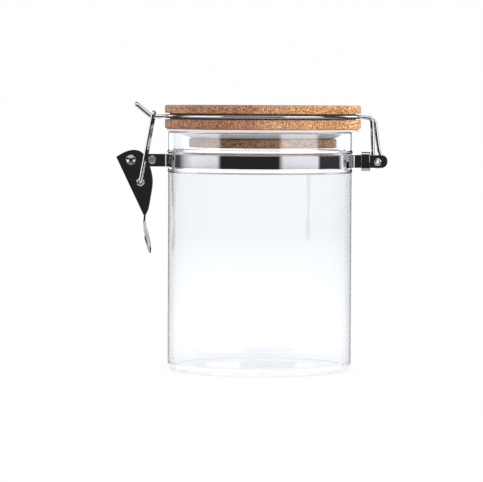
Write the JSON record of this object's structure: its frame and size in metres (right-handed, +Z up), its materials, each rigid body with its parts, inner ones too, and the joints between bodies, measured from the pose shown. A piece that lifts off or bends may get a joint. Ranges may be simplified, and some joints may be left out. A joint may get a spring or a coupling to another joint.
{
  "type": "food canister",
  "caption": "Straight round glass food canister with a grooved bamboo lid, silicone seal, wire ring hinge and over-centre steel toggle clamp.",
  "frame": {"origin": "centre of the jar's flat underside", "axes": "+Z up, +X towards the lid hinge, -X towards the latch, -Y towards the viewer of the picture"},
  "size_m": [0.1481, 0.1068, 0.1457],
  "materials": {
    "clear_glass": "clear, polished",
    "bamboo": "fine grain, satin",
    "silicone": "translucent white, satin",
    "polished_steel": "polished stainless"
  },
  "bodies": {
    "jar": {"glass_jar": "clear_glass", "strap_front": "polished_steel", "strap_rear": "polished_steel", "strap_rivet": "polished_steel", "strap_rivet_spacer": "polished_steel", "lever_pivot_rivet": "polished_steel", "lever_pivot_spacer": "polished_steel", "hinge_rivet": "polished_steel", "keeper_clip": "polished_steel"},
    "bail": {"lid_wire_ring": "polished_steel"},
    "lid": {"lid_board": "bamboo", "lid_plug": "bamboo", "lid_seal": "silicone"},
    "lever": {"latch_lever": "polished_steel", "link_eyelet_front": "polished_steel", "link_eyelet_rear": "polished_steel"},
    "link": {"link_wire": "polished_steel"}
  },
  "joints": [
    {"name": "lid_hinge", "type": "hinge", "parent": "jar", "child": "bail", "pos_m": [0.0643, 0, 0.1136], "axis": [0, 1, 0], "range_deg": [0, 200]},
    {"name": "lid_turn", "type": "hinge", "parent": "bail", "child": "lid", "pos_m": [0.0015, 0, 0.1379], "axis": [0, 0, 1], "continuous": true},
    {"name": "latch_lever", "type": "hinge", "parent": "jar", "child": "lever", "pos_m": [-0.07055, 0, 0.1141], "axis": [0, 1, 0], "range_deg": [0, 120], "deforming": ["link_wire"]},
    {"name": "link_swing", "type": "hinge", "parent": "lever", "child": "link", "pos_m": [-0.06525, 0, 0.1019], "axis": [0, 1, 0], "range_deg": [-180, 0]}
  ],
  "couplings": [
    {"joint": "link_swing", "follows": "latch_lever", "ratio": -1.5}
  ]
}
